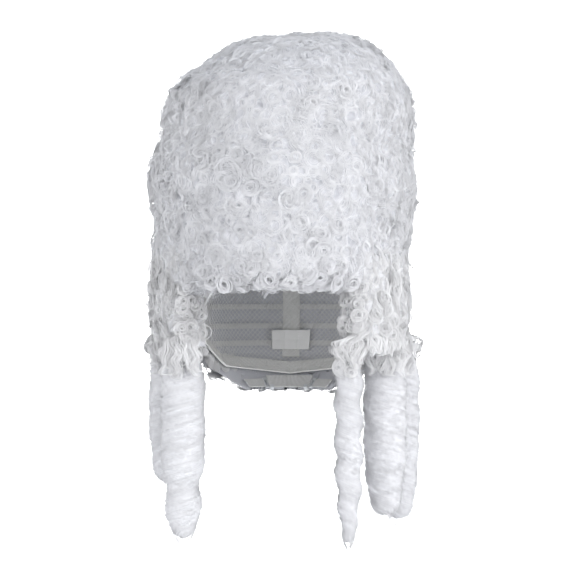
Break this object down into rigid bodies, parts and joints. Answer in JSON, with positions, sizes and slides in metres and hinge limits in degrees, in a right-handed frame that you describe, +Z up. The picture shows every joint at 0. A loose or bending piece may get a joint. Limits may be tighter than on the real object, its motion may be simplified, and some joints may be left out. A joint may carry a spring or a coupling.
{
  "type": "costume wig",
  "caption": "Tall white court-style costume wig: curled tower on a net cap, with hanging side ringlets.",
  "frame": {"origin": "inside apex of the cap, where it rests on the crown of the head", "axes": "+Z up, -Y towards the wearer's face, +X towards the wearer's left"},
  "size_m": [0.2446, 0.2452, 0.4495],
  "materials": {
    "white_fibre_hair": "crimped and curled synthetic fibre, soft satin",
    "fibre_wefting": "stitched rows of synthetic fibre",
    "frame_wire": "drawn wire",
    "stiff_net": "starched open net",
    "cap_net": "open stretch net",
    "clear_plastic": "translucent moulded plastic",
    "elastic": "woven elastic",
    "label_satin": "satin ribbon",
    "cap_tape": "woven cotton tape"
  },
  "bodies": {
    "cap_and_tower": {"cap_crown_net": "cap_net", "front_band": "cap_tape", "side_band_left": "cap_tape", "side_band_right": "cap_tape", "nape_band": "cap_tape", "ear_tab_left": "cap_tape", "ear_tab_right": "cap_tape", "ear_tab_stay_left": "frame_wire", "ear_tab_stay_right": "frame_wire", "centre_tape": "cap_tape", "cross_tape": "cap_tape", "weft_row_1": "fibre_wefting", "weft_row_2": "fibre_wefting", "weft_row_3": "fibre_wefting", "weft_row_4": "fibre_wefting", "weft_row_5": "fibre_wefting", "weft_row_6": "fibre_wefting", "weft_row_7": "fibre_wefting", "weft_row_8": "fibre_wefting", "care_label": "label_satin", "frame_base_ring": "frame_wire", "frame_middle_ring": "frame_wire", "frame_top_ring": "frame_wire", "frame_uprights": "frame_wire", "frame_net": "stiff_net", "fringe_hair": "white_fibre_hair", "tower_hair_front": "white_fibre_hair", "tower_hair_back": "white_fibre_hair", "tower_hair_left": "white_fibre_hair", "tower_hair_right": "white_fibre_hair", "tower_hair_top": "white_fibre_hair", "side_hair_left": "white_fibre_hair", "side_hair_right": "white_fibre_hair", "nape_hair": "white_fibre_hair", "ringlet_loop_left_front": "frame_wire", "ringlet_loop_left_middle": "frame_wire", "ringlet_loop_left_rear": "frame_wire", "ringlet_loop_right_front": "frame_wire", "ringlet_loop_right_middle": "frame_wire", "ringlet_loop_right_rear": "frame_wire", "adjuster_loop_tape": "elastic", "adjuster_elastic_left": "elastic", "adjuster_elastic_right": "elastic"},
    "ringlet_left_front": {"ringlet_left_front": "white_fibre_hair"},
    "ringlet_left_middle": {"ringlet_left_middle": "white_fibre_hair"},
    "ringlet_left_rear": {"ringlet_left_rear": "white_fibre_hair"},
    "ringlet_right_front": {"ringlet_right_front": "white_fibre_hair"},
    "ringlet_right_middle": {"ringlet_right_middle": "white_fibre_hair"},
    "ringlet_right_rear": {"ringlet_right_rear": "white_fibre_hair"},
    "adjuster_hook_left": {"adjuster_hook_left": "clear_plastic"},
    "adjuster_hook_right": {"adjuster_hook_right": "clear_plastic"}
  },
  "joints": [
    {"name": "ringlet_left_front_swing", "type": "hinge", "parent": "cap_and_tower", "child": "ringlet_left_front", "pos_m": [0.061, -0.065, -0.1345], "axis": [0, -1, 0], "range_deg": [-8, 30]},
    {"name": "ringlet_left_middle_swing", "type": "hinge", "parent": "cap_and_tower", "child": "ringlet_left_middle", "pos_m": [0.091, -0.01, -0.1395], "axis": [0, -1, 0], "range_deg": [-5, 35]},
    {"name": "ringlet_left_rear_swing", "type": "hinge", "parent": "cap_and_tower", "child": "ringlet_left_rear", "pos_m": [0.102, 0.036, -0.1395], "axis": [0, -1, 0], "range_deg": [-5, 35]},
    {"name": "ringlet_right_front_swing", "type": "hinge", "parent": "cap_and_tower", "child": "ringlet_right_front", "pos_m": [-0.086, -0.044, -0.1395], "axis": [0, 1, 0], "range_deg": [-5, 35]},
    {"name": "ringlet_right_middle_swing", "type": "hinge", "parent": "cap_and_tower", "child": "ringlet_right_middle", "pos_m": [-0.103, -0.002, -0.1395], "axis": [0, 1, 0], "range_deg": [-5, 35]},
    {"name": "ringlet_right_rear_swing", "type": "hinge", "parent": "cap_and_tower", "child": "ringlet_right_rear", "pos_m": [-0.099, 0.039, -0.1395], "axis": [0, 1, 0], "range_deg": [-5, 35]},
    {"name": "adjuster_left_tighten", "type": "hinge", "parent": "cap_and_tower", "child": "adjuster_hook_left", "pos_m": [0, 0.0265, -0.155], "axis": [0, 0, 1], "range_deg": [0, 16], "deforming": ["adjuster_elastic_left"]},
    {"name": "adjuster_right_tighten", "type": "hinge", "parent": "cap_and_tower", "child": "adjuster_hook_right", "pos_m": [0, 0.0265, -0.155], "axis": [0, 0, -1], "range_deg": [0, 16], "deforming": ["adjuster_elastic_right"]}
  ]
}
